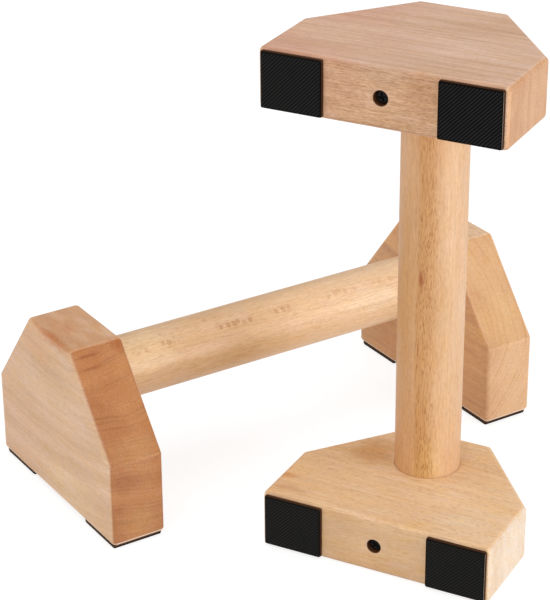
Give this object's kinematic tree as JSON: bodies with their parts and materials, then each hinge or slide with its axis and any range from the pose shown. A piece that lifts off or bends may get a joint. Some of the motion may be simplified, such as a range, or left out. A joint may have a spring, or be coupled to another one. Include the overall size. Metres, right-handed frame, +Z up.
{
  "type": "parallette bars",
  "caption": "Low wooden parallette bars: six-sided beech end blocks, a round grip glued and screwed between them and ribbed rubber feet, for push-ups and hand balancing.",
  "frame": {"origin": "floor point under the middle of the box round both bars", "axes": "+X along the lying bar's grip from its near to its far block, +Z up from the floor"},
  "size_m": [0.3, 0.298, 0.3],
  "materials": {
    "block_beech": "sanded beech, satin",
    "grip_beech": "sanded beech dowel, satin",
    "pad_rubber": "ribbed black rubber",
    "pad_backing": "brown self-adhesive foam",
    "screw_black": "black phosphated steel"
  },
  "bodies": {
    "lying_bar": {"lying_far_block": "block_beech", "lying_far_left_backing": "pad_backing", "lying_far_left_pad": "pad_rubber", "lying_far_right_backing": "pad_backing", "lying_far_right_pad": "pad_rubber", "lying_far_screw": "screw_black", "lying_grip": "grip_beech", "lying_near_block": "block_beech", "lying_near_left_backing": "pad_backing", "lying_near_left_pad": "pad_rubber", "lying_near_right_backing": "pad_backing", "lying_near_right_pad": "pad_rubber", "lying_near_screw": "screw_black"},
    "standing_bar": {"standing_grip": "grip_beech", "standing_lower_block": "block_beech", "standing_lower_left_backing": "pad_backing", "standing_lower_left_pad": "pad_rubber", "standing_lower_right_backing": "pad_backing", "standing_lower_right_pad": "pad_rubber", "standing_lower_screw": "screw_black", "standing_upper_block": "block_beech", "standing_upper_left_backing": "pad_backing", "standing_upper_left_pad": "pad_rubber", "standing_upper_right_backing": "pad_backing", "standing_upper_right_pad": "pad_rubber", "standing_upper_screw": "screw_black"}
  },
  "joints": [
    {"name": "standing_bar_lift", "type": "slide", "parent": "lying_bar", "child": "standing_bar", "axis": [0, 0, 1], "range_m": [0, 0.15]}
  ]
}
